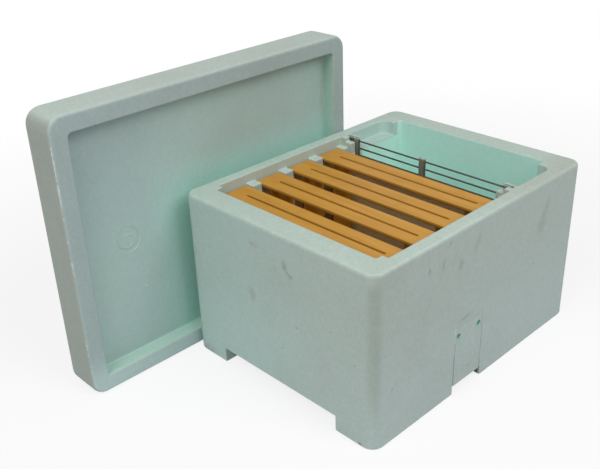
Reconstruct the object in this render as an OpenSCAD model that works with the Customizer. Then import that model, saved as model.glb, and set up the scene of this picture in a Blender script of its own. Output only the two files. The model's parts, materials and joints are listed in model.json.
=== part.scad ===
// Small moulded foam nuc for mating queen bees: a box on two long feet, four lift-out frames,
// a feed chamber behind a cross wall with a wire excluder, and the lid stood on edge beside the box.
// X runs along the top bars, Y from the frames to the feed chamber, Z up from the ground.
// The origin is the middle of the box's footprint.

/* [Box] */
// Outer width, along the top bars
box_w = 192; // [170:1:230]
// Outer length, across the frames
box_l = 248; // [225:1:320]
// Height of the rim above the ground
box_h = 139; // [120:1:200]
// Radius of the upright outer corners
corner_r = 10; // [6:1:20]
// Rounding of the rim's outer edge
rim_round = 3; // [1:0.5:5]
// Rounding of the outer edge at the ground
foot_round = 1.5; // [0.5:0.5:3]
// Thickness of the two end walls
end_wall = 20; // [14:1:28]
// Thickness of the side walls above the ledges
side_rim = 11.5; // [8:0.5:16]
// Thickness of the floor
floor_t = 15; // [10:1:22]
// Radius of the upright corners inside
inner_r = 2; // [1:0.5:6]

/* [Feet] */
// Width of each of the two long feet
foot_w = 36; // [26:1:42]
// Height of the feet, which is the height of the channel between them
foot_h = 13; // [12:1:20]
// Rounding of the feet's far ends at the ground
heel_round = 8; // [3:0.5:12]

/* [Ledges and ribs] */
// Depth of the ledges below the rim
ledge_drop = 11.5; // [9:0.5:16]
// Width of the ledges that carry the frames
ledge_w = 5; // [4:0.5:8]
// Length at the near end of the inside where the ledge is left out
ledge_stop = 6; // [3:0.5:9]
// Length at the feed chamber's far end where the ledge is left out
feed_stop = 9; // [3:0.5:12]
// Radius of the ledge's far corners in the feed chamber
feed_r = 8; // [2:0.5:12]
// How far the feed chamber's sides stand in from the sides of the frames' chamber
feed_in = 6.5; // [3:0.5:10]
// How far the spacer ribs stand out from the chamber's side
rib_d = 3.5; // [2:0.5:5]
// Height of the ribs above the tops of the bars
rib_rise = 1; // [0:0.5:3]
// Gap between a rib and the bar beside it
rib_play = 0.5; // [0.3:0.1:1.5]
// Thickness of the cross wall in front of the excluder
wall_front = 6; // [4:0.5:8]
// Thickness of the cross wall behind the excluder
wall_back = 2; // [1.5:0.5:6]
// Depth of the cross wall's top below the rim
wall_drop = 21; // [16:1:60]
// Depth of the two posts at the cross wall's ends below the rim
post_drop = 3.5; // [1:0.5:5]

/* [Frames] */
// Distance from one frame to the next
frame_pitch = 34.5; // [32:0.5:37]
// Gap from the near end wall to the first bar
first_gap = 8.5; // [7:0.5:14]
// Width of a top bar
bar_w = 24; // [20:1:26]
// Thickness of a top bar
bar_t = 3; // [2.5:0.5:5]
// Gap from a bar's end to the side wall
bar_play = 1.2; // [0.5:0.1:2]
// Width of the slot along the bar
slot_w = 2.25; // [1.5:0.25:4]
// Length of bar left at each end of the slot
slot_end = 13.5; // [10:0.5:18]
// Gap from the hoop to the spacer ribs
hoop_gap = 7; // [4:0.5:10]
// Width of the hoop's side bars
side_bar_w = 23; // [14:1:26]
// Thickness of the hoop's side bars
side_bar_t = 2.4; // [1.6:0.2:4]
// Width of the hoop's bottom bar
bottom_bar_w = 14; // [8:1:20]
// Thickness of the hoop's bottom bar
bottom_bar_t = 3; // [2:0.5:5]
// Length of the braces in the hoop's lower corners
brace_l = 6; // [3:0.5:10]
// Gap below the bottom bar
under_gap = 8; // [6:0.5:12]

/* [Excluder] */
// Gap from the last bar to the excluder's middle
excluder_gap = 14; // [10:0.5:20]
// Diameter of the wires
wire_d = 1.4; // [1.2:0.1:2.4]
// Distance from one wire to the next
wire_pitch = 6.5; // [5.5:0.1:7.5]
// Height of the band's top above the top wire's middle
wire_top = 2.6; // [2:0.1:6]
// Width of the channel-shaped bands
band_w = 6; // [4:0.2:9]
// Thickness of the band's sheet
band_t = 0.6; // [0.4:0.1:1]
// Radius of the band's two bends
bend_r = 1.2; // [1.1:0.1:1.3]
// Gap between the wires and the notches that hold them
band_play = 0.1; // [0.05:0.05:0.2]
// Distance of the left band from the chamber's side
left_band_in = 6.5; // [4:0.5:12]
// Distance of the middle band from the box's middle
middle_band_off = -2; // [-10:0.5:10]
// Distance of the right band from the chamber's side
right_band_in = 1.5; // [1:0.5:12]
// Depth of the bands' tops below the rim
excluder_drop = 0; // [0:0.5:3]
// Depth of the excluder's slots in the side walls
excluder_slot_d = 4; // [3:0.5:6]
// Depth of the groove for the excluder in the cross wall
groove_d = 6; // [3:0.5:12]
// Gap from the wires' ends to the slot's end
wire_end_play = 0.8; // [0.4:0.1:2]
// Gap at each face of the bands in the slot
excluder_play = 0.3; // [0.2:0.05:0.6]

/* [Entrance] */
// Place of the entrance's middle along the box
entrance_y = -19; // [-50:1:10]
// Width of the entrance panel
panel_w = 33; // [26:1:44]
// Height of the panel's top above the ground
panel_top = 59; // [50:1:80]
// Width of the lines that mark the panel
line_w = 1.2; // [0.8:0.2:3]
// Depth of the lines
line_d = 0.6; // [0.4:0.2:2]
// Height of the notch below the panel
notch_h = 8; // [6:0.5:11]
// Rounding of the foot's lower edges beside the notch
notch_round = 3.5; // [1:0.5:5]
// Radius of the two peg holes
peg_r = 2.1; // [1.5:0.1:3]
// Depth of the peg holes
peg_depth = 6; // [3:0.5:9]
// Distance between the peg holes
peg_spacing = 24.6; // [18:0.2:30]
// Height of the peg holes above the ground
peg_z = 50.5; // [40:0.5:60]
// Radius of the round moulding marks
mark_r = 9.5; // [6:0.5:14]
// Width of the line of a moulding mark
mark_w = 0.8; // [0.5:0.1:2]
// Depth of the moulding marks
mark_d = 0.3; // [0.2:0.1:1]
// Height of the panel's moulding mark
panel_mark_z = 31; // [20:1:40]

/* [Slide] */
// Width of the opening in the floor
opening_w = 16; // [10:1:20]
// Length of the opening in the floor
opening_l = 30; // [20:1:40]
// Gap from the track to the foot beside it
track_gap = 2; // [1:0.5:5]
// Width of the track at each side of the opening
track_side = 6; // [4:0.5:9]
// Thickness of the track above and below the slide
track_skin = 2; // [1.5:0.5:3]
// Length of track before the opening
track_before = 4; // [3:0.5:10]
// Length of track after the opening
track_after = 24; // [16:1:36]
// How far the slide reaches into the track's sides
slide_hold = 3; // [2:0.5:3.5]
// Thickness of the slide
slide_t = 2.4; // [1.6:0.2:3]
// Gap around the slide in its track
slide_play = 0.3; // [0.2:0.05:0.5]
// How far the shut slide overlaps the opening's ends
slide_lap = 2; // [1:0.5:3]
// Thickness of the slide's finger tab
tab_t = 3; // [2:0.5:5]
// Width of the finger tab
tab_w = 14; // [8:1:18]
// Drop of the finger tab below the track
tab_drop = 3; // [2:0.5:4]

/* [Vent] */
// Width of the vent opening in the floor
vent_w = 56; // [36:1:60]
// Length of the vent opening in the floor
vent_l = 60; // [36:1:80]
// Width of the seat round the vent
vent_seat = 4; // [3:0.5:7]
// Thickness of the grille
grille_t = 2.5; // [1.5:0.5:4]
// Gap around the grille in its seat
grille_play = 0.4; // [0.2:0.1:0.8]
// Width of the grille's slits
slit_w = 3; // [2:0.25:4]
// Width of the bars between the slits
slit_bar = 2.2; // [1.5:0.1:4]

/* [Lid] */
// Gap between the box and the lid's recess
lid_clear = 1.5; // [0.8:0.1:3]
// Width of the lid's rim
lid_rim = 14; // [10:1:20]
// Depth of the recess
lid_depth = 13; // [8:1:20]
// Thickness of the lid above the recess
lid_top = 21; // [14:1:30]
// Radius of the lid's corners
lid_corner_r = 12; // [8:1:20]
// Rounding of the edges round the lid's top
lid_top_round = 6; // [2:0.5:8]
// Rounding of the outer edge of the lid's rim
lid_rim_round = 3; // [1:0.5:6]
// Radius of the recess's corners
recess_r = 3; // [1:0.5:6]
// Gap between the standing lid and the box
lid_gap = 0.8; // [0.5:0.1:20]
// Place of the standing lid's middle along the box
lid_y = -83; // [-140:1:40]
// Distance of the end moulding marks from the lid's middle
lid_mark_y = 85; // [60:1:105]

/* [Hidden] */
$fn = 64;
frame_count = 4;
frames = [0 : frame_count - 1];
sides = [-1, 1];
// overlap that makes a cut or a join run past the face it meets
past = 1;
// points in a quarter turn of a rounded edge
round_steps = 6;

// levels
floor_z = foot_h + floor_t;
ledge_z = box_h - ledge_drop;
bar_top = ledge_z + bar_t;
rib_top = bar_top + rib_rise;
wall_top = box_h - wall_drop;
groove_z = wall_top - groove_d;
post_top = box_h - post_drop;

// inside of the box
near_y = -box_l / 2 + end_wall;
far_y = box_l / 2 - end_wall;
rebate_x = box_w / 2 - side_rim;
chamber_x = rebate_x - ledge_w;
rib_x = chamber_x - rib_d;
feed_x = chamber_x - feed_in;
channel_x = box_w / 2 - foot_w;

// frames
bar_y = [for (i = frames) near_y + first_gap + bar_w / 2 + i * frame_pitch];
bar_x = rebate_x - bar_play;
slot_x = bar_x - slot_end;
hoop_x = rib_x - hoop_gap;
hoop_z = floor_z + under_gap;

// excluder
excluder_t = wire_d + 4 * band_play + 2 * band_t;
excluder_y = bar_y[frame_count - 1] + bar_w / 2 + excluder_gap;
excluder_slot_w = excluder_t + 2 * excluder_play;
excluder_slot_x = chamber_x + excluder_slot_d;
slot_near_y = excluder_y - excluder_slot_w / 2;
slot_far_y = excluder_y + excluder_slot_w / 2;
wall_near_y = slot_near_y - wall_front;
wall_far_y = slot_far_y + wall_back;
feed_end = far_y - feed_stop;
band_top = box_h - excluder_drop;
top_wire_z = band_top - wire_top;
wire_count = floor((top_wire_z - groove_z - wire_top) / wire_pitch) + 1;

// entrance slide
track_w = opening_w + 2 * track_side;
track_x = channel_x - track_gap - track_w / 2;
track_t = slide_t + 2 * slide_play + 2 * track_skin;
track_z = foot_h - track_t;
track_near_y = entrance_y - opening_l / 2 - track_before;
track_far_y = entrance_y + opening_l / 2 + track_after;
groove_w = opening_w + 2 * slide_hold;
slide_near_y = entrance_y + opening_l / 2;
slide_travel = opening_l + slide_lap;
slide_far_y = track_far_y + slide_travel + 2 * slide_lap;

// vent
vent_x = (track_x - track_w / 2 - channel_x) / 2;
vent_y = (near_y + excluder_y) / 2;
grille_w = vent_w + 2 * vent_seat;
grille_l = vent_l + 2 * vent_seat;
slit_step = slit_w + slit_bar;
slit_count = floor((vent_l - slit_bar) / slit_step);

// lid
recess_w = box_w + 2 * lid_clear;
recess_l = box_l + 2 * lid_clear;
lid_w = recess_w + 2 * lid_rim;
lid_l = recess_l + 2 * lid_rim;
lid_t = lid_depth + lid_top;

foam = "#bcd2c8";
tan_plastic = "#c48f42";
steel = "#7d8080";
grey_plastic = "#6d7274";

// Rounded rectangle about the origin
module soft_plan(w, l, r) {
    square([w - 2 * r, l], center = true);
    square([w, l - 2 * r], center = true);
    for (sx = sides, sy = sides)
        translate([sx * (w / 2 - r), sy * (l / 2 - r)])
            circle(r);
}

// Upright block with round corners, from z = 0
module soft_block(w, l, h, r) {
    linear_extrude(h)
        soft_plan(w, l, r);
}

// Block between two corners
module span(low, high) {
    translate(low)
        cube(high - low);
}

// One upright corner of a moulded block, round at its lower and upper edges
module corner_post(h, r, low_round, top_round) {
    turns = [for (i = [0 : round_steps]) 90 * i / round_steps];
    rotate_extrude($fn = 32)
        polygon(concat(
            [[0, 0]],
            [for (a = turns) [r - low_round + low_round * sin(a), low_round - low_round * cos(a)]],
            [for (a = turns) [r - top_round + top_round * cos(a), h - top_round + top_round * sin(a)]],
            [[0, h]]));
}

// Moulded block with round corners and softened edges
module moulded_block(w, l, h, r, low_round, top_round) {
    hull()
        for (sx = sides, sy = sides)
            translate([sx * (w / 2 - r), sy * (l / 2 - r), 0])
                corner_post(h, r, low_round, top_round);
}

// Round line pressed into a face, facing up from z = 0
module mark_line() {
    translate([0, 0, -mark_d])
        difference() {
            cylinder(r = mark_r, h = mark_d + past);
            translate([0, 0, -past])
                cylinder(r = mark_r - mark_w, h = mark_d + 3 * past);
        }
}

// Round-cornered space between two places along the box, from a given height to past the rim
module chamber(half_w, from_y, to_y, bottom, r) {
    translate([0, (from_y + to_y) / 2, bottom])
        soft_block(2 * half_w, to_y - from_y, box_h - bottom + past, r);
}

// Space inside the walls: chambers, ledges, the opening over the cross wall and the excluder's slot
module inside() {
    chamber(chamber_x, near_y, wall_near_y, floor_z, inner_r);
    chamber(feed_x, wall_far_y, far_y, floor_z, inner_r);
    span([-rebate_x, near_y + ledge_stop, ledge_z], [rebate_x, wall_near_y, box_h + past]);
    span([-rebate_x, wall_far_y, ledge_z], [rebate_x, feed_end - feed_r, box_h + past]);
    chamber(rebate_x, feed_end - 3 * feed_r, feed_end, ledge_z, feed_r);
    span([-feed_x, wall_near_y - past, wall_top], [feed_x, wall_far_y + past, box_h + past]);
    span([-chamber_x, wall_near_y - past, post_top], [chamber_x, slot_near_y + past, box_h + past]);
    span([-excluder_slot_x, slot_near_y, groove_z], [excluder_slot_x, slot_far_y, box_h + past]);
}

// Upright rib against one side wall
module side_rib(side, from_y, to_y) {
    mirror([side < 0 ? 1 : 0, 0, 0])
        span([rib_x, from_y, floor_z - past], [rebate_x + past, to_y, rib_top]);
}

// Spacer ribs between the bars, and behind the last bar
module ribs() {
    bay_w = bar_w + 2 * rib_play;
    for (side = sides) {
        for (i = [0 : frame_count - 2])
            side_rib(side, bar_y[i] + bay_w / 2, bar_y[i + 1] - bay_w / 2);
        side_rib(side, bar_y[frame_count - 1] + bay_w / 2, wall_near_y + past);
    }
}

// Takes the corner off a lower edge along X; the solid lies on the given side of the edge
module round_lower_edge(from_x, to_x, y, side, r) {
    translate([from_x, y, 0])
        mirror([0, side < 0 ? 1 : 0, 0])
            difference() {
                translate([0, -past, -past])
                    cube([to_x - from_x, r + past, r + past]);
                translate([-past, r, r])
                    rotate([0, 90, 0])
                        cylinder(r = r, h = to_x - from_x + 2 * past);
            }
}

// Lines, peg holes, moulding mark and notch of the entrance on the front face
module entrance_cuts() {
    front_x = box_w / 2;
    for (side = sides)
        translate([front_x - line_d, entrance_y + side * panel_w / 2 - line_w / 2, 0])
            cube([line_d + past, line_w, panel_top]);
    translate([front_x - line_d, entrance_y - panel_w / 2, panel_top - line_w])
        cube([line_d + past, panel_w, line_w]);
    for (side = sides)
        translate([front_x - peg_depth, entrance_y + side * peg_spacing / 2, peg_z])
            rotate([0, 90, 0])
                cylinder(r = peg_r, h = peg_depth + past);
    translate([front_x, entrance_y, panel_mark_z])
        rotate([0, 90, 0])
            mark_line();
    span([channel_x - past, entrance_y - panel_w / 2, -past],
         [front_x + past, entrance_y + panel_w / 2, notch_h]);
    for (side = sides)
        round_lower_edge(channel_x - past, front_x + past, entrance_y + side * panel_w / 2, side, notch_round);
}

// Openings through the floor, the channel between the feet and their rounded far ends
module floor_cuts() {
    span([-channel_x, -box_l / 2 - past, -past], [channel_x, box_l / 2 + past, foot_h]);
    round_lower_edge(-box_w / 2 - past, box_w / 2 + past, box_l / 2, -1, heel_round);
    translate([track_x - opening_w / 2, entrance_y - opening_l / 2, 0])
        cube([opening_w, opening_l, floor_z + past]);
    translate([vent_x, vent_y, floor_z - grille_t])
        translate([-grille_w / 2 - grille_play, -grille_l / 2 - grille_play, 0])
            cube([grille_w + 2 * grille_play, grille_l + 2 * grille_play, grille_t + past]);
    translate([vent_x - vent_w / 2, vent_y - vent_l / 2, 0])
        cube([vent_w, vent_l, floor_z + past]);
}

module box_body() {
    color(foam)
        difference() {
            union() {
                difference() {
                    moulded_block(box_w, box_l, box_h, corner_r, foot_round, rim_round);
                    inside();
                }
                ribs();
            }
            floor_cuts();
            entrance_cuts();
        }
}

// Lid as it sits when closed, with its rim at z = 0 and its recess below
module closed_lid() {
    difference() {
        moulded_block(lid_w, lid_l, lid_t, lid_corner_r, lid_rim_round, lid_top_round);
        translate([0, 0, -past])
            soft_block(recess_w, recess_l, lid_depth + past, recess_r);
        for (side = sides)
            translate([0, side * lid_mark_y, lid_depth])
                mirror([0, 0, 1])
                    mark_line();
    }
}

// Lid stood on its long edge with the recess towards the box
module lid() {
    color(foam)
        translate([-box_w / 2 - lid_gap, lid_y, lid_w / 2])
            rotate([0, -90, 0])
                closed_lid();
}

// Flat slotted bar that rests on the ledges
module top_bar(i) {
    color(tan_plastic)
        translate([0, bar_y[i], 0])
            difference() {
                span([-bar_x, -bar_w / 2, ledge_z], [bar_x, bar_w / 2, bar_top]);
                span([-slot_x, -slot_w / 2, ledge_z - past], [slot_x, slot_w / 2, bar_top + past]);
            }
}

// Two side bars, a bottom bar and two corner braces, open in the middle for the comb
module hoop(i) {
    inner_x = hoop_x - side_bar_t;
    inner_z = hoop_z + bottom_bar_t;
    color(tan_plastic)
        translate([0, bar_y[i], 0]) {
            span([-hoop_x, -bottom_bar_w / 2, hoop_z], [hoop_x, bottom_bar_w / 2, inner_z]);
            for (side = sides)
                mirror([side < 0 ? 1 : 0, 0, 0]) {
                    span([inner_x, -side_bar_w / 2, hoop_z], [hoop_x, side_bar_w / 2, ledge_z]);
                    translate([inner_x, bottom_bar_w / 2, inner_z])
                        rotate([90, 0, 0])
                            linear_extrude(bottom_bar_w)
                                polygon([[past, -past], [past, brace_l], [0, brace_l],
                                         [-brace_l, 0], [-brace_l, -past]]);
                }
        }
}

module excluder_wires() {
    wire_l = 2 * (excluder_slot_x - wire_end_play);
    color(steel)
        for (i = [0 : wire_count - 1])
            translate([-wire_l / 2, excluder_y, top_wire_z - i * wire_pitch])
                rotate([0, 90, 0])
                    cylinder(d = wire_d, h = wire_l, $fn = 24);
}

// Channel-shaped strip whose two flanges are notched from behind for the wires
module excluder_band(x) {
    notch = wire_d / 2 + band_play;
    color(steel)
        translate([x, excluder_y, 0])
            difference() {
                translate([0, 0, groove_z])
                    linear_extrude(band_top - groove_z)
                        difference() {
                            soft_plan(band_w, excluder_t, bend_r);
                            translate([0, band_t])
                                soft_plan(band_w - 2 * band_t, excluder_t, bend_r - band_t);
                        }
                for (i = [0 : wire_count - 1])
                    translate([0, 0, top_wire_z - i * wire_pitch])
                        span([-band_w / 2 - past, -notch, -notch], [band_w / 2 + past, excluder_t, notch]);
            }
}

// Guide under the floor: a flat tunnel with the opening through it
module entrance_track() {
    color(grey_plastic)
        difference() {
            span([track_x - track_w / 2, track_near_y, track_z],
                 [track_x + track_w / 2, track_far_y, foot_h]);
            span([track_x - groove_w / 2 - slide_play, track_near_y - past, track_z + track_skin],
                 [track_x + groove_w / 2 + slide_play, track_far_y + past, foot_h - track_skin]);
            span([track_x - opening_w / 2, entrance_y - opening_l / 2, track_z - past],
                 [track_x + opening_w / 2, entrance_y + opening_l / 2, foot_h + past]);
        }
}

module entrance_slide() {
    slide_z = track_z + track_skin + slide_play;
    color(tan_plastic) {
        span([track_x - groove_w / 2, slide_near_y, slide_z],
             [track_x + groove_w / 2, slide_far_y, slide_z + slide_t]);
        span([track_x - tab_w / 2, slide_far_y - tab_t, track_z - tab_drop],
             [track_x + tab_w / 2, slide_far_y, slide_z + slide_t]);
    }
}

module floor_grille() {
    color(grey_plastic)
        translate([vent_x, vent_y, floor_z - grille_t])
            difference() {
                translate([-grille_w / 2, -grille_l / 2, 0])
                    cube([grille_w, grille_l, grille_t]);
                for (i = [0 : slit_count - 1])
                    translate([-vent_w / 2, (i - (slit_count - 1) / 2) * slit_step - slit_w / 2, -past])
                        cube([vent_w, slit_w, grille_t + 2 * past]);
            }
}

box_body();
lid();
excluder_wires();
excluder_band(-chamber_x + left_band_in);  // excluder_band_left
excluder_band(middle_band_off);  // excluder_band_middle
excluder_band(chamber_x - right_band_in);  // excluder_band_right
entrance_track();
entrance_slide();
floor_grille();
for (i = frames) {
    top_bar(i);
    hoop(i);
}
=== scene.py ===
"""Looks of the open nuc box: mint bead foam, tan frames, a wire excluder and grey floor fittings."""
import json
import math
import random

import bmesh
import bpy
from mathutils import Matrix, Vector


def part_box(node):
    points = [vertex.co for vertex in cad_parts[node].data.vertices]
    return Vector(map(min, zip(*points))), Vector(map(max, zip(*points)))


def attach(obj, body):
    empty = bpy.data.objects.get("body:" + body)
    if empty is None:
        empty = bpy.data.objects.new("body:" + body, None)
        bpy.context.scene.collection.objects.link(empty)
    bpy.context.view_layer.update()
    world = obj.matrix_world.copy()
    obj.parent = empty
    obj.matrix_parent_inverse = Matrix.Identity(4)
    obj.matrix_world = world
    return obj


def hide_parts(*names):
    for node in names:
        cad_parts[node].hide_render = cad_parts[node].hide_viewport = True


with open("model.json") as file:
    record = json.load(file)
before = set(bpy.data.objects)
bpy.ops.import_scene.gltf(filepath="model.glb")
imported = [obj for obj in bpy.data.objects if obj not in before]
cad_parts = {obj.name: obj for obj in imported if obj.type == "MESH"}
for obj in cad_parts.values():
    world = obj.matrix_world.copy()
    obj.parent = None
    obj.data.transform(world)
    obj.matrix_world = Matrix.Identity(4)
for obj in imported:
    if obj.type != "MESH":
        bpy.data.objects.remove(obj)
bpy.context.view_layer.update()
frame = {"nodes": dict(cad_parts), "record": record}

MM = 0.001

# Camera fitted to the photo's edges
CAMERA_TARGET = Vector((-77.42, -21.47, 69.5)) * MM
CAMERA_DISTANCE = 713.06 * MM
CAMERA_TURN = math.radians(46.677)
CAMERA_RISE = math.radians(27.382)
CAMERA_ROLL = math.radians(-2.164)
CAMERA_LENS = 50.19
CAMERA_SENSOR = 36.0
CAMERA_CLIP = 0.01

# Places on the box, in metres
BOX_HALF_X, BOX_HALF_Y, BOX_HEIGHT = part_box("box_body")[1]
INNER_X = BOX_HALF_X - 10.8 * MM
INNER_Y = BOX_HALF_Y - 19.2 * MM
FLOOR_TOP_Z = 28.0 * MM
FEED_Y = 49.8 * MM
LEDGE_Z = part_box("frame_1_top_bar")[0].z
BAR_TOP_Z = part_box("frame_1_top_bar")[1].z
BAND_CUT_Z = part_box("excluder_band_left")[1].z
CORNER_X = BOX_HALF_X - 3.0 * MM
CORNER_Y = -BOX_HALF_Y + 3.0 * MM

# Places on the entrance panel, round its two peg holes
PEGS = next(mount for mount in frame["record"]["mounts"] if mount["name"] == "peg_holes")
PANEL_MIDDLE_Y, PEG_Z = PEGS["pos_m"][1:]
PEG_OFF_Y = PEGS["dims"]["spacing_x_mm"] * MM / 2
PEG_MOUTH_R = (PEGS["dims"]["hole_r_mm"] + 0.4) * MM
PANEL_HALF_Y = 18.5 * MM
PANEL_NEAR_Y = PANEL_MIDDLE_Y - PANEL_HALF_Y
PANEL_TOP_Z = 60.5 * MM
PANEL_RING_Z = 31.0 * MM
PANEL_BACK_X = BOX_HALF_X - 3.0 * MM
NOTCH_END_Y = -2.5 * MM
NOTCH_TOP_Z = 8.0 * MM

# Places on the lid, which stands on its long edge
LID_LOW, LID_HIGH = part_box("lid")
LID_FRONT_X = LID_HIGH.x
LID_RECESS_X = LID_FRONT_X - 13.0 * MM
LID_NEAR_Y = LID_LOW.y
LID_MIDDLE_Y = (LID_LOW.y + LID_HIGH.y) / 2
LID_MIDDLE_Z = (LID_LOW.z + LID_HIGH.z) / 2
LID_CLEAR = 1.5 * MM
LID_RECESS_HALF_Y = BOX_HALF_Y + LID_CLEAR
LID_RECESS_HALF_Z = BOX_HALF_X + LID_CLEAR
LID_RING_OFF_Y = 85.0 * MM
RING_REACH = 12.0 * MM


def srgb(red, green, blue):
    """Linear colour from the 0 to 255 values of a picture."""
    def linear(value):
        value /= 255.0
        return value / 12.92 if value <= 0.04045 else ((value + 0.055) / 1.055) ** 2.4
    return (linear(red), linear(green), linear(blue), 1.0)


# Tones of the box's foam
FOAM_OUT_HIGH = srgb(177, 188, 184)
FOAM_OUT_LOW = srgb(182, 195, 193)
# The near end's own tones, set apart from the other sides and shading from left to right, are painted light
FOAM_NEAR_LEFT = srgb(184, 203, 197)
FOAM_NEAR_RIGHT = srgb(186, 197, 191)
FOAM_NEAR_LEFT_LOW = srgb(189, 211, 206)
FOAM_NEAR_RIGHT_LOW = srgb(190, 203, 199)
# Painted green shade on the box's side that faces the lid, for the light bounced between box and lid
FOAM_SHADED = srgb(174, 220, 199)
# The inside mint tones are partly clean foam and partly painted bounce light
FOAM_IN = srgb(206, 245, 235)
FOAM_REBATE = srgb(187, 212, 205)
# Comb space: painted shade above its ledges, and below them painted warm light bounced from the tan frames,
# partly a wax stain
FOAM_LEDGE_SHADE = srgb(180, 192, 184)
FOAM_COMB_BOUNCE = srgb(240, 224, 182)
# The rim's paler tones, on faces that look up, are painted top light
FOAM_RIM = srgb(197, 213, 204)
FOAM_RIM_LEFT = srgb(194, 214, 205)
FOAM_PEG_SHADE = srgb(158, 198, 184)
# The panel's groove tones are painted light that lifts their shade, most in the near line and least in the
# top line
FOAM_LINE = srgb(200, 216, 212)
FOAM_LINE_NEAR = srgb(228, 243, 239)
FOAM_LINE_TOP = srgb(180, 193, 189)

# Tones of the lid's foam
LID_OUT = srgb(184, 197, 192)
# The lid's tones by the way each face looks are painted light and shade
LID_RIM = srgb(168, 183, 183)
LID_RIM_LOW = srgb(187, 207, 206)
LID_END = srgb(168, 175, 168)
LID_TOP_LIGHT = srgb(193, 206, 199)
LID_IN = srgb(177, 199, 196)
# Painted shade towards the recess's upper left
LID_IN_UPPER_SHADE = srgb(167, 185, 185)
# Painted green bounce light in the recess beside and behind the box
LID_GREEN_BOUNCE = srgb(184, 231, 220)
# Painted light on the recess's lip that looks up and on its far side
LID_LIP = srgb(200, 232, 219)
LID_FAR_SIDE = srgb(180, 216, 204)
# Painted top light on the mould arcs
LID_ARC = srgb(194, 217, 213)
# The flash's tones, paler on top, are painted top light
FLASH_UNDER = srgb(198, 207, 203)
FLASH_TOP = srgb(214, 222, 218)

# Tints that darken the foam
# Painted shade for the rim's far right, where the light falls off
RIM_FAR_SHADE = srgb(244, 238, 236)
RIM_MOTTLE = srgb(247, 246, 244)
CORNER_DARKER = srgb(233, 235, 230)
NOTCH_SHADE = srgb(120, 120, 120)
STAIN_TINT = srgb(248, 244, 243)
BEAD_TINT = srgb(241, 246, 245)
MOTTLE_TINT = srgb(244, 246, 245)
SEAM_TINT = srgb(215, 228, 222)
PIT_TINT = srgb(150, 170, 160)
SPECK_TINT = srgb(120, 118, 105)
SMUDGE = srgb(222, 215, 209)
FAINT = srgb(236, 231, 226)
SPECK = srgb(190, 186, 178)
HEEL_SHADE = srgb(228, 213, 216)
CHIP = srgb(170, 150, 135)

# Tones of the plastic and the steel; steel tones are picture values
BAR_DEEP = srgb(198, 143, 56)
BAR_PALE = srgb(210, 154, 64)
# The hoops' tones are the bars' plastic, darker and deeper as painted shade
HOOP_SHADE_DEEP = srgb(194, 128, 32)
HOOP_SHADE_PALE = srgb(206, 140, 40)
TAN_CLOUD = srgb(232, 222, 205)
TAN_SIDE_SHADE = srgb(172, 164, 170)
GREY_DEEP = srgb(104, 107, 108)
GREY_PALE = srgb(122, 125, 125)
WIRE_STEEL = (82, 93, 86)
BAND_STEEL = (150, 154, 143)
DRAWN_DARK = 0.86
RUST = srgb(214, 196, 170)
BEND_SHADE = srgb(186, 190, 182)
# Painted highlight on the bands' cut ends
CUT_END_HIGHLIGHT = srgb(174, 181, 174)

# Cells, clouds and grain to a metre, and depths of the surfaces' relief
FOAM_BEADS = 1.0 / (4.2 * MM)
FOAM_PITS = 80.0
FOAM_SPECKS = 30.0
FOAM_STAINS = 16.0
FOAM_MOTTLE = 330.0
FOAM_GRAIN = 900.0
RIM_CLOUDS = 190.0
TAN_STREAKS = (14.0, 160.0, 160.0)
TAN_CLOUDS = 45.0
TAN_GRAIN = 1400.0
GREY_CLOUDS = 60.0
GREY_GRAIN = 1600.0
WIRE_DRAWN = (25.0, 700.0, 700.0)
BAND_ROLLED = (700.0, 700.0, 25.0)
RUST_CLOUDS = 60.0
FOAM_RELIEF = 0.2 * MM
TAN_RELIEF = 0.06 * MM
GREY_RELIEF = 0.08 * MM
STEEL_RELIEF = 0.04 * MM
STEEL_METAL = 0.45


class Shade:
    """A socket of a node tree; sums and products of values add their Math nodes."""

    def __init__(self, finish, socket):
        self.finish = finish
        self.socket = socket

    def math(self, operation, first, second=0.0):
        return self.finish.add("ShaderNodeMath", {"operation": operation}, {0: first, 1: second})

    def __add__(self, other):
        return self.math("ADD", self, other)

    __radd__ = __add__

    def __sub__(self, other):
        return self.math("SUBTRACT", self, other)

    def __rsub__(self, other):
        return self.math("SUBTRACT", other, self)

    def __neg__(self):
        return 0.0 - self

    def __mul__(self, other):
        return self.math("MULTIPLY", self, other)

    __rmul__ = __mul__

    def __gt__(self, other):
        return self.math("GREATER_THAN", self, other)

    def __abs__(self):
        return self.math("ABSOLUTE", self)

    def root(self):
        return self.math("SQRT", self)

    def either(self, other):
        """The larger of two shares."""
        return self.math("MAXIMUM", self, other)

    def rise(self, low, high):
        """0 below low and 1 above high, with a smooth rise between; falls when low is above high."""
        return self.finish.add("ShaderNodeMapRange", {"interpolation_type": "SMOOTHSTEP"},
                               {"Value": self, "From Min": low, "From Max": high})

    def within(self, low, high, soft):
        """1 between two bounds, with a soft edge outside each."""
        return self.rise(low - soft, low) * self.rise(high + soft, high)


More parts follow.
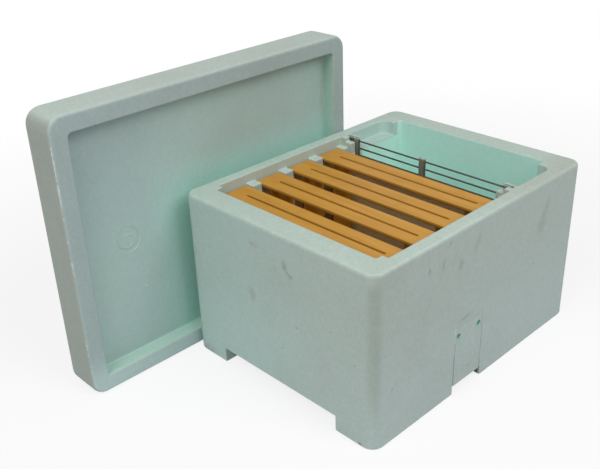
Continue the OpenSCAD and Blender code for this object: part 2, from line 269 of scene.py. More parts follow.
class Finish:
    """The nodes of a new material, or of the studio's world; add() makes every node."""

    def __init__(self, name, kept_in=bpy.data.materials):
        self.owner = kept_in.new(name)
        self.owner.use_nodes = True
        self.tree = self.owner.node_tree
        self.tree.nodes.clear()

    def add(self, kind, settings=None, sockets=None, out=0):
        """One node of a kind: its settings first, then its sockets' values or links; gives an output."""
        node = self.tree.nodes.new(kind)
        for key, value in (settings or {}).items():
            setattr(node, key, value)
        for key, value in (sockets or {}).items():
            if isinstance(value, Shade):
                self.tree.links.new(value.socket, node.inputs[key])
            else:
                node.inputs[key].default_value = value
        return Shade(self, node.outputs[out]) if node.outputs else None

    def place(self):
        """The point of the object itself, in metres."""
        return self.add("ShaderNodeTexCoord", out="Object")

    def axes(self, vector):
        return [self.add("ShaderNodeSeparateXYZ", None, {0: vector}, axis) for axis in "XYZ"]

    def facing(self):
        """The X, Y and Z of the way that the surface faces."""
        return self.axes(self.add("ShaderNodeNewGeometry", out="Normal"))

    def stretched(self, place, scale):
        return self.add("ShaderNodeMapping", None, {"Vector": place, "Scale": scale})

    def clouds(self, place, scale, detail=3.0, rough=0.5):
        return self.add("ShaderNodeTexNoise", None,
                        {"Vector": place, "Scale": scale, "Detail": detail, "Roughness": rough})

    def cells(self, place, scale, feature="F1", out="Distance"):
        return self.add("ShaderNodeTexVoronoi", {"feature": feature}, {"Vector": place, "Scale": scale}, out)

    def spots(self, place, scale, axis, above, outer, inner):
        """Small round spots, in the cells whose own colour is above a value on one axis."""
        pick = self.axes(self.cells(place, scale, out="Color"))[axis]
        return (pick > above) * self.cells(place, scale).rise(outer, inner)

    def blend(self, share, first, second):
        """Colour between two: first at 0, second at 1."""
        return self.add("ShaderNodeMix", {"data_type": "RGBA"}, {0: share, 6: first, 7: second}, 2)

    def darken(self, share, colour, tint):
        """Colour times a tint, by a share."""
        return self.add("ShaderNodeMix", {"data_type": "RGBA", "blend_type": "MULTIPLY"},
                        {0: share, 6: colour, 7: tint}, 2)

    def bump(self, height, depth, strength):
        return self.add("ShaderNodeBump", None, {"Strength": strength, "Distance": depth, "Height": height})

    def surface(self, **sockets):
        """The shader and the output; socket names with spaces are written with _."""
        named = {key.replace("_", " "): value for key, value in sockets.items()}
        shader = self.add("ShaderNodeBsdfPrincipled", None, named)
        self.add("ShaderNodeOutputMaterial", None, {"Surface": shader})
        return self.owner

    def looked_at(self):
        """1 for what the camera sees, straight, mirrored or through a clear piece; 0 for light on the box."""
        straight = self.add("ShaderNodeLightPath", out="Is Camera Ray")
        mirrored = self.add("ShaderNodeLightPath", out="Is Glossy Ray")
        through = self.add("ShaderNodeLightPath", out="Is Transmission Ray")
        return straight.either(mirrored).either(through)


def bead_foam(name, tones, marks=()):
    """Moulded bead foam: smooth, with hardly seen beads, pits, specks and marks; tones gives its colour."""
    foam = Finish(name)
    place = foam.place()
    beads = foam.axes(foam.cells(place, FOAM_BEADS, out="Color"))[0]
    seams = 1.0 - foam.cells(place, FOAM_BEADS, "DISTANCE_TO_EDGE").rise(0.0, 0.12)
    pits = foam.spots(place, FOAM_PITS, 1, 0.86, 0.075, 0.03)
    specks = foam.spots(place, FOAM_SPECKS, 2, 0.62, 0.034, 0.016)
    stains = foam.clouds(place, FOAM_STAINS, 4.0, 0.55)
    mottle = foam.clouds(place, FOAM_MOTTLE, 2.0, 0.6)
    grain = foam.clouds(place, FOAM_GRAIN, 2.0, 0.6)

    colour, clean = tones(foam, foam.axes(place), foam.facing())
    mottled = 1.0 - clean * 0.55
    worn = 1.0 - clean
    colour = foam.darken(stains.rise(0.45, 0.75) * 0.6, colour, STAIN_TINT)
    colour = foam.darken(beads * mottled * 0.32, colour, BEAD_TINT)
    colour = foam.darken(mottle.rise(0.38, 0.62) * mottled * 0.55, colour, MOTTLE_TINT)
    colour = foam.darken(seams * 0.09, colour, SEAM_TINT)
    colour = foam.darken(pits * worn * 0.4, colour, PIT_TINT)
    colour = foam.darken(specks * worn * 0.6, colour, SPECK_TINT)
    patchy = mottle.rise(0.3, 0.6) * 0.6 + 0.4
    for spot, reach, tilt, tint in marks:
        local = foam.add("ShaderNodeMapping", {"vector_type": "TEXTURE"},
                         {"Vector": place, "Location": spot, "Rotation": tilt, "Scale": reach})
        gap = foam.add("ShaderNodeVectorMath", {"operation": "LENGTH"}, {0: local}, "Value")
        colour = foam.darken(gap.rise(1.0, 0.0) * patchy, colour, tint)
    height = grain * 0.12 - seams * 0.1 - pits * 0.7 + beads * 0.1
    return foam.surface(Base_Color=colour, Roughness=grain * 0.12 + 0.55,
                        Normal=foam.bump(height, FOAM_RELIEF, 0.6), Specular_IOR_Level=0.32)


# Where the foam's tones change: the two ends of each soft change
SOFT_EDGE = 0.4 * MM
LOW_SIDES_Z = (110.0 * MM, 15.0 * MM)
SHADED_Y = (115.0 * MM, -20.0 * MM)
RIM_SHADE_X = (60.0 * MM, INNER_X)
RIM_SHADE_Y = (-20.0 * MM, 70.0 * MM)
CORNER_DARKER_R = (8.0 * MM, 1.5 * MM)
CORNER_DARKER_LOW_Z = (6.0 * MM, 60.0 * MM)
CORNER_DARKER_HIGH_Z = (BOX_HEIGHT, BOX_HEIGHT - 14.0 * MM)
LID_RIM_LOW_Z = (40.0 * MM, 8.0 * MM)
LID_UPPER_Y = (-100.0 * MM, -190.0 * MM)
LID_UPPER_Z = (110.0 * MM, 195.0 * MM)
LID_BOUNCE_Y = (-158.0 * MM, -96.0 * MM)
LID_BOUNCE_Z = (168.0 * MM, 112.0 * MM)


def near_end(facing):
    """1 on faces that look towards the near end."""
    return (-facing[1]).rise(0.6, 0.95)


def hollow_share(axes):
    """1 inside the box's walls, above its floor."""
    x, y, z = axes
    across = abs(x).rise(INNER_X + SOFT_EDGE, INNER_X - SOFT_EDGE)
    along = abs(y).rise(INNER_Y + SOFT_EDGE, INNER_Y - SOFT_EDGE)
    return across * along * z.rise(FLOOR_TOP_Z - MM, FLOOR_TOP_Z - SOFT_EDGE)


def outside_tones(foam, axes, facing, hollow):
    """Grey-green outer sides, paler low down; painted light makes the near end's tones greener at its left,
    and painted green shade lies beside the lid.
    """
    x, y, z = axes
    low = z.rise(*LOW_SIDES_Z)
    to_right = x.rise(-BOX_HALF_X, BOX_HALF_X)
    near_high = foam.blend(to_right, FOAM_NEAR_LEFT, FOAM_NEAR_RIGHT)
    near_low = foam.blend(to_right, FOAM_NEAR_LEFT_LOW, FOAM_NEAR_RIGHT_LOW)
    colour = foam.blend(low, FOAM_OUT_HIGH, FOAM_OUT_LOW)
    colour = foam.blend(near_end(facing) * (1.0 - hollow), colour, foam.blend(low, near_high, near_low))
    # Painted green shade on the side that faces the lid
    lid_side_shade = (-facing[0]).rise(0.5, 0.9) * x.rise(-INNER_X - MM, -INNER_X - 3.0 * MM)
    return foam.blend(lid_side_shade * y.rise(*SHADED_Y), colour, FOAM_SHADED)


def chambers(foam, axes):
    """Mint feed chamber, partly clean foam and partly painted bounce light; the comb space has painted shade
    above its ledges and painted warm bounce light below them.
    """
    y, z = axes[1:]
    feed = y.rise(FEED_Y - 2.5 * MM, FEED_Y - 0.5 * MM)
    upper = foam.blend(feed, FOAM_LEDGE_SHADE, FOAM_REBATE)
    lower = foam.blend(feed, FOAM_COMB_BOUNCE, FOAM_IN)
    colour = foam.blend(z.rise(LEDGE_Z - 0.5 * MM, LEDGE_Z - 2.0 * MM), upper, lower)
    return foam.blend(y.rise(INNER_Y - 6.0 * MM, INNER_Y - 3.0 * MM), colour, FOAM_IN)


def with_rim(foam, axes, facing, colour):
    """The colour with the rim paler where it faces up, as painted top light, mottled, and with painted shade
    at its far right.
    """
    x, y, z = axes
    rim = facing[2].rise(0.45, 0.85) * z.rise(BAR_TOP_Z - MM, BAR_TOP_Z + 0.5 * MM)
    to_left = x.rise(-INNER_X + 3.0 * MM, -INNER_X - 2.0 * MM)
    colour = foam.blend(rim, colour, foam.blend(to_left, FOAM_RIM, FOAM_RIM_LEFT))
    # Painted shade at the rim's far right, where the light falls off
    rim_far_shade = x.rise(*RIM_SHADE_X) * y.rise(*RIM_SHADE_Y)
    colour = foam.darken(rim * rim_far_shade, colour, RIM_FAR_SHADE)
    mottle = foam.clouds(foam.place(), RIM_CLOUDS, 3.0, 0.6)
    return foam.darken(rim * mottle.rise(0.4, 0.7) * 0.6, colour, RIM_MOTTLE)


def with_panel(foam, axes, facing, colour):
    """The colour with green painted shade in the entrance panel's peg holes, painted light and shade in its
    lines, and painted shade at its notch's end.
    """
    x, y, z = axes
    # Green painted shade in the peg holes
    off = abs(abs(y - PANEL_MIDDLE_Y) - PEG_OFF_Y)
    peg = (off * off + (z - PEG_Z) * (z - PEG_Z)).root().rise(PEG_MOUTH_R + 1.2 * MM, PEG_MOUTH_R)
    colour = foam.blend(peg * x.rise(PANEL_BACK_X - 5.0 * MM, PANEL_BACK_X - 4.0 * MM), colour, FOAM_PEG_SHADE)
    panel = abs(y - PANEL_MIDDLE_Y).rise(PANEL_HALF_Y + 0.2 * MM, PANEL_HALF_Y)
    panel = panel * z.rise(PANEL_TOP_Z, PANEL_TOP_Z - MM)
    sunk = x.within(BOX_HALF_X - 0.9 * MM, BOX_HALF_X - 0.15 * MM, 0.1 * MM)
    # Painted light and shade in the panel's grooves
    near_line = y.rise(PANEL_NEAR_Y + 5.0 * MM, PANEL_NEAR_Y + 4.0 * MM)
    top_line = z.rise(PANEL_TOP_Z - 3.0 * MM, PANEL_TOP_Z - 2.0 * MM)
    line = foam.blend(top_line, foam.blend(near_line, FOAM_LINE, FOAM_LINE_NEAR), FOAM_LINE_TOP)
    colour = foam.blend(panel * sunk * (1.0 - peg), colour, line)
    # Painted shade on the far end wall of the notch
    notch_end = near_end(facing) * y.within(NOTCH_END_Y - MM, NOTCH_END_Y + 0.6 * MM, 0.5 * MM)
    return foam.darken(notch_end * z.rise(NOTCH_TOP_Z + MM, NOTCH_TOP_Z - 0.5 * MM), colour, NOTCH_SHADE)


def box_tones(foam, axes, facing):
    """Colour of the box, grey-green outside and mint inside, with painted light and shade; and where it is
    clean.
    """
    x, y, z = axes
    hollow = hollow_share(axes)
    colour = outside_tones(foam, axes, facing, hollow)
    colour = foam.blend(hollow, colour, chambers(foam, axes))
    colour = with_rim(foam, axes, facing, colour)
    # Darker down the near upright corner
    corner = ((x - CORNER_X) * (x - CORNER_X) + (y - CORNER_Y) * (y - CORNER_Y)).root()
    corner_darker = corner.rise(*CORNER_DARKER_R) * z.rise(*CORNER_DARKER_LOW_Z) * z.rise(*CORNER_DARKER_HIGH_Z)
    colour = foam.darken(corner_darker, colour, CORNER_DARKER)
    return with_panel(foam, axes, facing, colour), hollow


def lid_tones(foam, axes, facing):
    """Painted light and shade: paler faces that look up, a cooler front rim, a darker near end, a greener
    recess beside the box; and where it is clean.
    """
    x, y, z = axes
    along = abs(y - LID_MIDDLE_Y).rise(LID_RECESS_HALF_Y + 0.6 * MM, LID_RECESS_HALF_Y - 0.2 * MM)
    high = abs(z - LID_MIDDLE_Z).rise(LID_RECESS_HALF_Z + 0.6 * MM, LID_RECESS_HALF_Z - 0.2 * MM)
    recess = along * high * x.within(LID_RECESS_X - MM, LID_FRONT_X - 1.2 * MM, MM)
    towards_near = -facing[1]
    # Painted light: front rim cooler and paler low down, faces that look up paler, near end darker
    rim = foam.blend(z.rise(*LID_RIM_LOW_Z), LID_RIM, LID_RIM_LOW)
    colour = foam.blend(facing[0].rise(0.5, 0.95), LID_OUT, rim)
    colour = foam.blend(facing[2].rise(0.3, 0.9), colour, LID_TOP_LIGHT)
    colour = foam.blend(towards_near.rise(0.5, 0.95), colour, LID_END)
    # Painted shade towards the recess's upper left
    upper_left_shade = y.rise(*LID_UPPER_Y) * z.rise(*LID_UPPER_Z)
    # Painted green bounce light beside and behind the box
    green_bounce = y.rise(*LID_BOUNCE_Y) * z.rise(*LID_BOUNCE_Z)
    inside = foam.blend(upper_left_shade, LID_IN, LID_IN_UPPER_SHADE)
    inside = foam.blend(green_bounce, inside, LID_GREEN_BOUNCE)
    colour = foam.blend(recess, colour, inside)
    # Painted light on the recess's lip and far side
    colour = foam.blend(recess * facing[2].rise(0.5, 0.9), colour, LID_LIP)
    colour = foam.blend(recess * towards_near.rise(0.5, 0.9), colour, LID_FAR_SIDE)
    return colour, recess * 0.5


def flash_tones(foam, axes, facing):
    """Pale flash, the palest on top as painted top light, and all of it clean."""
    return foam.blend(facing[2].rise(-0.5, 0.5), FLASH_UNDER, FLASH_TOP), 1.0


def arc_tones(foam, axes, facing):
    """The recess's painted-shade upper tone, paler on top as painted top light, and all of it clean."""
    return foam.blend(facing[2].rise(-0.5, 0.5), LID_IN_UPPER_SHADE, LID_ARC), 1.0


MARK_DEEP = 6.0 * MM


def side_mark(y, z, half_y, half_z, tilt, tint):
    """A mark on the entrance side: place and half sizes in millimetres, tilt in degrees."""
    spot = (BOX_HALF_X, y * MM, z * MM)
    return spot, (MARK_DEEP, half_y * MM, half_z * MM), (math.radians(tilt), 0.0, 0.0), tint


def near_mark(x, z, half_x, half_z, tilt, tint):
    """A mark on the near end: place and half sizes in millimetres, tilt in degrees."""
    spot = (x * MM, -BOX_HALF_Y, z * MM)
    return spot, (half_x * MM, MARK_DEEP, half_z * MM), (0.0, math.radians(tilt), 0.0), tint


BOX_MARKS = [
    near_mark(14.5, 116.0, 4.2, 7.0, -20.0, SMUDGE),
    near_mark(19.5, 110.5, 3.0, 5.0, -55.0, SMUDGE),
    near_mark(-22.0, 80.0, 6.0, 9.0, 0.0, FAINT),
    near_mark(-17.0, 122.0, 8.0, 4.0, 0.0, FAINT),
    near_mark(-82.0, 2.0, 16.0, 8.0, 0.0, HEEL_SHADE),
    near_mark(24.6, 71.0, 1.0, 1.0, 0.0, SPECK),
    near_mark(56.8, 82.5, 1.1, 1.1, 0.0, SPECK),
    near_mark(79.3, 66.0, 0.9, 1.3, 0.0, SPECK),
    near_mark(8.8, 46.5, 1.2, 1.0, 0.0, SPECK),
    near_mark(32.2, 13.9, 1.0, 0.9, 0.0, SPECK),
    near_mark(83.7, 2.0, 2.4, 2.0, 20.0, CHIP),
    side_mark(-54.0, 118.5, 3.2, 6.5, -8.0, SMUDGE),
    side_mark(-34.5, 111.0, 4.0, 7.0, -14.0, SMUDGE),
    side_mark(-69.0, 120.5, 2.6, 4.0, 0.0, SMUDGE),
    side_mark(-47.5, 133.0, 3.0, 4.5, -14.0, FAINT),
    side_mark(-15.6, 121.0, 5.0, 10.0, -18.0, FAINT),
    side_mark(74.6, 117.0, 5.5, 11.0, -16.0, FAINT),
    side_mark(70.0, 104.0, 9.0, 14.0, -10.0, FAINT),
    side_mark(63.0, 72.2, 1.3, 1.6, 0.0, SPECK),
    side_mark(-105.7, 44.8, 1.2, 1.6, -30.0, SPECK),
    side_mark(-87.6, 41.3, 1.0, 1.2, 0.0, SPECK),
    side_mark(-58.2, 33.7, 0.9, 1.1, 0.0, SPECK),
    side_mark(-17.1, 18.7, 1.0, 1.2, 0.0, SPECK),
    side_mark(-24.0, 64.0, 14.0, 3.0, 8.0, FAINT),
]


def moulded_tan(name, deep, pale):
    """Satin tan plastic of the frames and the slide: faint flow streaks, and painted shade darker down the
    bars' sides.
    """
    tan = Finish(name)
    place = tan.place()
    z = tan.axes(place)[2]
    streaks = tan.clouds(tan.stretched(place, TAN_STREAKS), 1.0, 4.0, 0.6)
    clouds = tan.clouds(place, TAN_CLOUDS)
    grain = tan.clouds(place, TAN_GRAIN, 2.0)
    colour = tan.blend(streaks.rise(0.3, 0.7), deep, pale)
    colour = tan.darken(clouds.rise(0.5, 0.75) * 0.4, colour, TAN_CLOUD)
    # Painted shade, darker down the bars' sides
    bar_side_shade = abs(tan.facing()[1]).rise(0.3, 0.9) * z.rise(BAR_TOP_Z, LEDGE_Z)
    colour = tan.darken(bar_side_shade, colour, TAN_SIDE_SHADE)
    return tan.surface(Base_Color=colour, Roughness=grain * 0.2 + 0.38,
                       Normal=tan.bump(grain, TAN_RELIEF, 0.5), Specular_IOR_Level=0.22)


def grey_fitting():
    """Grey plastic of the track and the grille."""
    grey = Finish("moulded grey plastic")
    place = grey.place()
    clouds = grey.clouds(place, GREY_CLOUDS, 4.0)
    grain = grey.clouds(place, GREY_GRAIN, 2.0)
    colour = grey.blend(clouds.rise(0.35, 0.7), GREY_DEEP, GREY_PALE)
    return grey.surface(Base_Color=colour, Roughness=grain * 0.2 + 0.42,
                        Normal=grey.bump(grain, GREY_RELIEF, 0.5))


def draw_marks(steel, place, stretch, tone):
    """Draw marks along one way on steel of a tone, and its faintly rusted colour."""
    drawn = steel.clouds(steel.stretched(place, stretch), 1.0, 4.0, 0.65)
    rust = steel.clouds(place, RUST_CLOUDS)
    dark = srgb(*[value * DRAWN_DARK for value in tone])
    colour = steel.blend(drawn.rise(0.3, 0.7), dark, srgb(*tone))
    return drawn, steel.darken(rust.rise(0.5, 0.7) * 0.6, colour, RUST)


def steel_surface(steel, drawn, colour, metal):
    """Dull steel with the relief of its draw marks."""
    return steel.surface(Base_Color=colour, Metallic=metal, Roughness=drawn * 0.22 + 0.3,
                         Normal=steel.bump(drawn, STEEL_RELIEF, 0.5))


def drawn_wire():
    """Dull steel wire, drawn along X."""
    steel = Finish("drawn steel wire")
    drawn, colour = draw_marks(steel, steel.place(), WIRE_DRAWN, WIRE_STEEL)
    return steel_surface(steel, drawn, colour, STEEL_METAL)


def folded_band():
    """Steel band, rolled along Z, with painted shade on its bends and a pale, dull painted highlight on its
    cut ends.
    """
    steel = Finish("folded steel band")
    place = steel.place()
    drawn, colour = draw_marks(steel, place, BAND_ROLLED, BAND_STEEL)
    # Painted highlight on the cut ends, pale and dull
    cut = steel.axes(place)[2].rise(BAND_CUT_Z - 1.6 * MM, BAND_CUT_Z - 0.2 * MM)
    # Painted shade on the bends
    colour = steel.darken(abs(steel.facing()[0]).rise(0.15, 0.7), colour, BEND_SHADE)
    colour = steel.blend(cut, colour, CUT_END_HIGHLIGHT)
    return steel_surface(steel, drawn, colour, STEEL_METAL - cut * STEEL_METAL)


TOUCHING = 0.002 * MM
FLAT_ENOUGH = math.radians(0.8)
SHARP_EDGE = math.radians(40.0)
SHADING_EDGE = math.radians(50.0)
EASE_STEPS = 2
WALL_EASE = 0.9 * MM
LID_EASE = 1.2 * MM
RING_EASE = 0.25 * MM
PEG_EASE = 0.8 * MM
FRAME_EASE = 0.4 * MM
TRACK_EASE = 0.5 * MM
THIN_EASE = 0.35 * MM


def on_peg_mouth(point):
    """True at the mouths of the entrance panel's two holes."""
    off = abs(abs(point.y - PANEL_MIDDLE_Y) - PEG_OFF_Y)
    return point.x > PANEL_BACK_X and math.hypot(off, point.z - PEG_Z) < PEG_MOUTH_R


def on_panel(point):
    """True on the entrance panel, whose thin lines and lower edge stay sharp."""
    in_lines = abs(point.y - PANEL_MIDDLE_Y) < PANEL_HALF_Y and point.z < PANEL_TOP_Z
    return point.x > PANEL_BACK_X and in_lines


def on_panel_ring(point):
    """True at the panel's ring mark."""
    return on_panel(point) and math.hypot(point.y - PANEL_MIDDLE_Y, point.z - PANEL_RING_Z) < RING_REACH


def on_lid_ring(point):
    """True at the two ring marks in the lid's recess."""
    off = abs(point.y - LID_MIDDLE_Y) - LID_RING_OFF_Y
    return math.hypot(off, point.z - LID_MIDDLE_Z) < RING_REACH


def elsewhere(test):
    """Test that is true where the given one isn't."""
    return lambda point: not test(point)


BOX_EASES = [(elsewhere(on_panel), WALL_EASE), (on_panel_ring, RING_EASE), (on_peg_mouth, PEG_EASE)]
LID_EASES = [(elsewhere(on_lid_ring), LID_EASE), (on_lid_ring, RING_EASE)]


def laid(name, mesh, body):
    """A new smooth piece of foam that moves with a body."""
    piece = bpy.data.objects.new(name, mesh)
    bpy.context.scene.collection.objects.link(piece)
    for face in mesh.polygons:
        face.use_smooth = True
    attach(piece, body)
    return piece


def eased_foam(node, name, body, eases):
    """A piece that stands for a foam node, with its sharp edges eased; eases are pairs of where and width."""
    mesh = bpy.data.meshes.new(name)
    shape = bmesh.new()
    shape.from_mesh(frame["nodes"][node].data)
    bmesh.ops.remove_doubles(shape, verts=shape.verts, dist=TOUCHING)
    bmesh.ops.dissolve_limit(shape, angle_limit=FLAT_ENOUGH, verts=shape.verts, edges=shape.edges)
    for where, width in eases:
        sharp = [edge for edge in shape.edges if edge.is_manifold and edge.calc_face_angle() > SHARP_EDGE
                 and all(where(vert.co) for vert in edge.verts)]
        bmesh.ops.bevel(shape, geom=sharp, offset=width, segments=EASE_STEPS, profile=0.5, affect="EDGES",
                        clamp_overlap=False)
    bmesh.ops.remove_doubles(shape, verts=shape.verts, dist=TOUCHING)
    shape.to_mesh(mesh)
    shape.free()
    piece = laid(name, mesh, body)
    weighted = piece.modifiers.new("even shading", "WEIGHTED_NORMAL")
    weighted.keep_sharp = True
    mesh.set_sharp_from_angle(angle=SHADING_EDGE)
    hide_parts(node)
    return piece


BEAD_SIDES = 8


def swept_bead(name, path, radii, body):
    """A closed, tapering bead of foam swept along a path of points."""
    mesh = bpy.data.meshes.new(name)
    shape = bmesh.new()
    rings = []
    for i, (point, radius) in enumerate(zip(path, radii)):
        ahead = (path[min(i + 1, len(path) - 1)] - path[max(i - 1, 0)]).normalized()
        side = ahead.cross(Vector((1.0, 0.0, 0.0))).normalized()
        other = ahead.cross(side)
        turns = [math.tau * k / BEAD_SIDES for k in range(BEAD_SIDES)]
        spokes = [side * math.cos(turn) + other * math.sin(turn) for turn in turns]
        rings.append([shape.verts.new(point + spoke * radius) for spoke in spokes])
    for first, second in zip(rings, rings[1:]):
        for k in range(BEAD_SIDES):
            after = (k + 1) % BEAD_SIDES
            shape.faces.new((first[k], first[after], second[after], second[k]))
    shape.faces.new(rings[0][::-1])
    shape.faces.new(rings[-1])
    bmesh.ops.recalc_face_normals(shape, faces=shape.faces)
    shape.to_mesh(mesh)
    shape.free()
    return laid(name, mesh, body)


FLASH_SEED = 11
FLASH_STEP = 1.0 * MM
FLASH_RINGS = 185
FLASH_LOW_Z = 20.0 * MM
FLASH_INSET = 1.2 * MM
FLASH_SHIFT = 0.1 * MM
FLASH_RADIUS = 0.3
FLASH_LEAST = 0.12
FLASH_END = 0.1 * MM


def lid_flash():
    """Rough line of bead flash down the lid's near front edge, standing out in some stretches only."""
    dice = random.Random(FLASH_SEED)
    path, radii = [], []
    slow, quick = 0.0, 0.0
    for i in range(FLASH_RINGS):
        slow = 0.92 * slow + 0.28 * dice.uniform(-1.0, 1.0)
        quick = 0.45 * quick + 0.55 * dice.uniform(-1.0, 1.0)
        inset = FLASH_INSET + FLASH_SHIFT * quick
        path.append(Vector((LID_FRONT_X - inset, LID_NEAR_Y + inset, FLASH_LOW_Z + i * FLASH_STEP)))
        stands_out = 0.3 * min(1.0, max(0.0, 0.45 + slow)) + 0.34 * quick
        radii.append(max(FLASH_LEAST, FLASH_RADIUS + stands_out) * MM)
    radii[0] = radii[-1] = FLASH_END
    return swept_bead("lid_flash", path, radii, "lid")


ARC_RINGS = 28
ARC_SUNK = 0.1 * MM

# Mould arcs in the recess: name, middle along and up, radius, turns in degrees, thickness
RECESS_ARCS = [
    ("lid_inner_ring", (-168.5 * MM, 109.5 * MM), 5.6 * MM, (-150.0, 150.0), 0.5 * MM),
    ("lid_ring_edge", (-168.0 * MM, 111.0 * MM), 11.6 * MM, (-118.0, -8.0), 0.5 * MM),
    ("lid_low_arc", (-183.0 * MM, 41.0 * MM), 7.5 * MM, (25.0, 155.0), 0.4 * MM),
    ("lid_lump", (-157.1 * MM, 64.5 * MM), 1.6 * MM, (20.0, 170.0), 0.55 * MM),
]


def recess_arc(name, middle, radius, turns, thick):
    """Faint raised arc left by the mould on the recess's floor, thinner towards its ends."""
    path, radii = [], []
    for i in range(ARC_RINGS):
        part = i / (ARC_RINGS - 1)
        turn = math.radians(turns[0] + (turns[1] - turns[0]) * part)
        y = middle[0] + radius * math.cos(turn)
        z = middle[1] + radius * math.sin(turn)
        path.append(Vector((LID_RECESS_X - ARC_SUNK, y, z)))
        radii.append(thick * (0.35 + 0.65 * math.sin(math.pi * part)))
    return swept_bead(name, path, radii, "lid")


def eased_edges(node, width):
    """Eased edges on a CAD node, by modifiers: its faces are joined, then their sharp edges rounded."""
    modifiers = frame["nodes"][node].modifiers
    joined = modifiers.new("joined faces", "WELD")
    joined.merge_threshold = TOUCHING
    ease = modifiers.new("eased edges", "BEVEL")
    ease.width = width
    ease.segments = EASE_STEPS
    ease.limit_method = "ANGLE"
    ease.angle_limit = SHARP_EDGE
    modifiers.new("even shading", "WEIGHTED_NORMAL")


def dress(piece, material):
    """Put one material on a piece."""
    piece.data.materials.clear()
    piece.data.materials.append(material)


def dress_node(node, material, ease=0.0):
    """Put a material on a CAD node, and ease its edges by a width if one is given."""
    dress(frame["nodes"][node], material)
    if ease:
        eased_edges(node, ease)


# Foam pieces
box_foam = bead_foam("bead foam of the box", box_tones, BOX_MARKS)
lid_foam = bead_foam("bead foam of the lid", lid_tones)
dress(eased_foam("box_body", "foam_box", "box", BOX_EASES), box_foam)
dress(eased_foam("lid", "foam_lid", "lid", LID_EASES), lid_foam)
dress(lid_flash(), bead_foam("bead flash", flash_tones))
arc_foam = bead_foam("bead foam of the mould arcs", arc_tones)
for arc in RECESS_ARCS:
    dress(recess_arc(*arc), arc_foam)

# Frames, excluder and floor fittings
bar_tan = moulded_tan("moulded tan plastic", BAR_DEEP, BAR_PALE)
# The hoops' plastic is a painted-shade copy of the bars' plastic
shaded_hoop_tan = moulded_tan("moulded tan plastic of the hoops", HOOP_SHADE_DEEP, HOOP_SHADE_PALE)
for number in range(1, 5):
    dress_node(f"frame_{number}_top_bar", bar_tan, FRAME_EASE)
    dress_node(f"frame_{number}_hoop", shaded_hoop_tan, FRAME_EASE)
band_steel = folded_band()
for side in ("left", "middle", "right"):
    dress_node(f"excluder_band_{side}", band_steel)
dress_node("excluder_wires", drawn_wire())
grey_plastic = grey_fitting()
dress_node("entrance_track", grey_plastic, TRACK_EASE)
dress_node("floor_grille", grey_plastic, THIN_EASE)
dress_node("entrance_slide", bar_tan, THIN_EASE)

# Studio: a white floor that keeps a soft shadow, a white world and two soft lamps
WHITE = (1.0, 1.0, 1.0, 1.0)
FLOOR_SIZE = 6.0
FLOOR_BOUNCE = srgb(222, 226, 226)
FLOOR_SEEN = srgb(252, 252, 252)
FLOOR_WHITE_SHARE = 0.80
FLOOR_WHITE_FROM = 0.30
FLOOR_WHITE_TO = 0.75
WORLD_LIGHT = 0.34
LAMP_AIM = Vector((0.0, 0.0, 0.08))
LAMP_SIZE = 0.8


def studio_floor():
    """Pale floor that looks white and keeps a soft shadow, and throws back less light than it shows."""
    mesh = bpy.data.meshes.new("studio_floor")
    shape = bmesh.new()
    bmesh.ops.create_grid(shape, x_segments=2, y_segments=2, size=FLOOR_SIZE / 2)
    shape.to_mesh(mesh)
    shape.free()
    floor = bpy.data.objects.new("studio_floor", mesh)
    bpy.context.scene.collection.objects.link(floor)
    paper = Finish("studio paper")
    seen = paper.looked_at()
    matte = paper.add("ShaderNodeBsdfDiffuse", None, {"Color": paper.blend(seen, FLOOR_BOUNCE, FLOOR_SEEN)})
    white = paper.add("ShaderNodeEmission", None, {"Color": WHITE, "Strength": 1.0})
    x, y, _ = paper.axes(paper.place())
    away = (x * x + y * y).root().rise(FLOOR_WHITE_FROM, FLOOR_WHITE_TO)
    share = seen * (away * (1.0 - FLOOR_WHITE_SHARE) + FLOOR_WHITE_SHARE)
    shown = paper.add("ShaderNodeMixShader", None, {0: share, 1: matte, 2: white})
    paper.add("ShaderNodeOutputMaterial", None, {"Surface": shown})
    dress(floor, paper.owner)


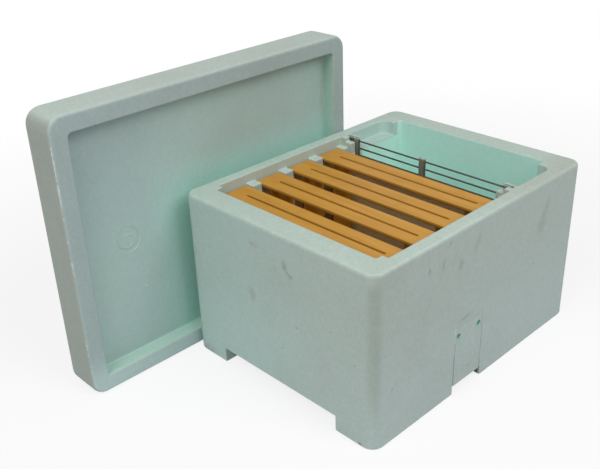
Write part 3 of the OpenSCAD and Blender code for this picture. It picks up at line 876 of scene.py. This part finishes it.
def studio_world():
    """White world that lights the object at a lower level than it shows."""
    sky = Finish("studio", bpy.data.worlds)
    light = sky.add("ShaderNodeBackground", None, {"Color": WHITE, "Strength": WORLD_LIGHT})
    white = sky.add("ShaderNodeBackground", None, {"Color": WHITE, "Strength": 1.0})
    shown = sky.add("ShaderNodeMixShader", None, {0: sky.looked_at(), 1: light, 2: white})
    sky.add("ShaderNodeOutputWorld", None, {"Surface": shown})
    bpy.context.scene.world = sky.owner


def soft_lamp(name, place, power, colour):
    """A round lamp, aimed low on the box."""
    lamp = bpy.data.lights.new(name, "AREA")
    lamp.shape = "DISK"
    lamp.size = LAMP_SIZE
    lamp.energy = power
    lamp.color = colour
    piece = bpy.data.objects.new(name, lamp)
    piece.location = place
    piece.rotation_euler = (LAMP_AIM - Vector(place)).to_track_quat("-Z", "Y").to_euler()
    bpy.context.scene.collection.objects.link(piece)


def photo_camera():
    """The camera at the photo's angle."""
    level_reach = math.cos(CAMERA_RISE)
    back = Vector((math.sin(CAMERA_TURN) * level_reach, -math.cos(CAMERA_TURN) * level_reach,
                   math.sin(CAMERA_RISE)))
    level = Vector((0.0, 0.0, 1.0)).cross(back).normalized()
    upright = back.cross(level)
    right = level * math.cos(CAMERA_ROLL) + upright * math.sin(CAMERA_ROLL)
    up = upright * math.cos(CAMERA_ROLL) - level * math.sin(CAMERA_ROLL)
    lens = bpy.data.cameras.new("photo camera")
    lens.lens = CAMERA_LENS
    lens.sensor_width = CAMERA_SENSOR
    lens.clip_start = CAMERA_CLIP
    camera = bpy.data.objects.new("photo camera", lens)
    turn = Matrix((right, up, back)).transposed().to_4x4()
    camera.matrix_world = Matrix.Translation(CAMERA_TARGET + back * CAMERA_DISTANCE) @ turn
    bpy.context.scene.collection.objects.link(camera)
    bpy.context.scene.camera = camera


studio_floor()
studio_world()
soft_lamp("right lamp", (0.95, 0.05, 1.05), 7.0, (1.0, 0.99, 0.97))
soft_lamp("front lamp", (0.15, -0.95, 1.05), 6.0, (0.985, 1.0, 0.99))
photo_camera()
bpy.context.scene.view_settings.view_transform = "Standard"
